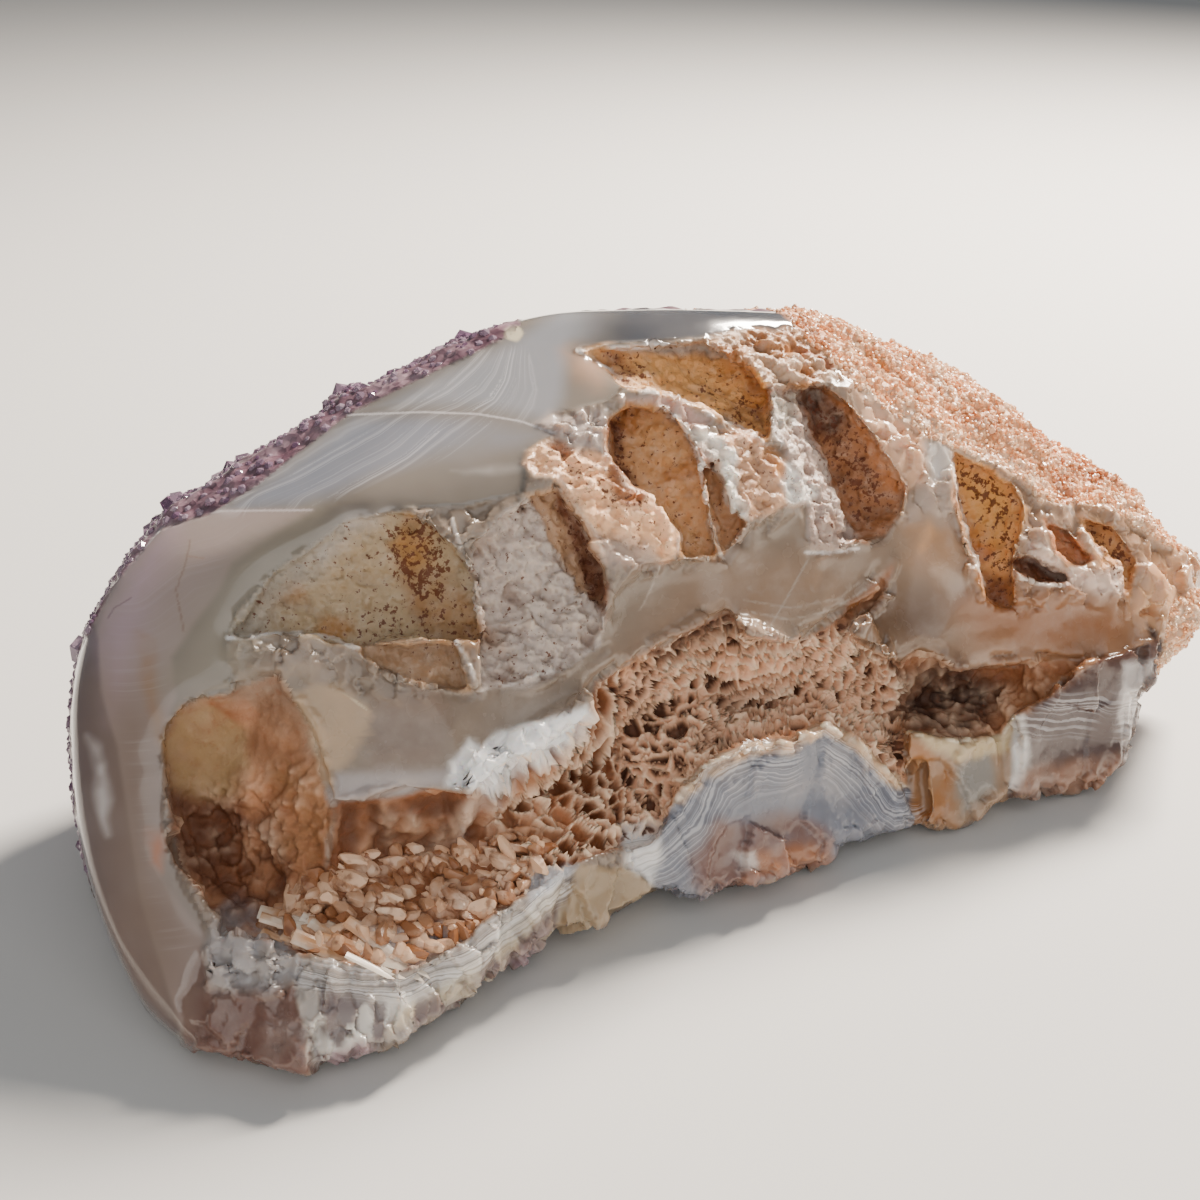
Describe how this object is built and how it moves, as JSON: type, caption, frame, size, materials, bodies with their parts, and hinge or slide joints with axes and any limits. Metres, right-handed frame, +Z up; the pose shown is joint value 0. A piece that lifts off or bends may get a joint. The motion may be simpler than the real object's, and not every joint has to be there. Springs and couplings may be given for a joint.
{
  "type": "amethyst agate specimen",
  "caption": "Broken wedge of a banded agate nodule with polished flats, hollow blade casts, a boxwork recess and an amethyst crust on the back, resting on a small flat.",
  "frame": {"origin": "middle of the bounding box at its lowest level, on the flat that the stone rests on", "axes": "+Z up, +X along the stone's length to the right as seen from the hollow front, +Y from the hollow front to the amethyst back"},
  "size_m": [0.1258, 0.0873, 0.0519],
  "materials": {
    "agate": "polished translucent chalcedony with rough orange rind, brown boxwork and amethyst points"
  },
  "bodies": {
    "root": {"agate_specimen": "agate"}
  },
  "joints": []
}
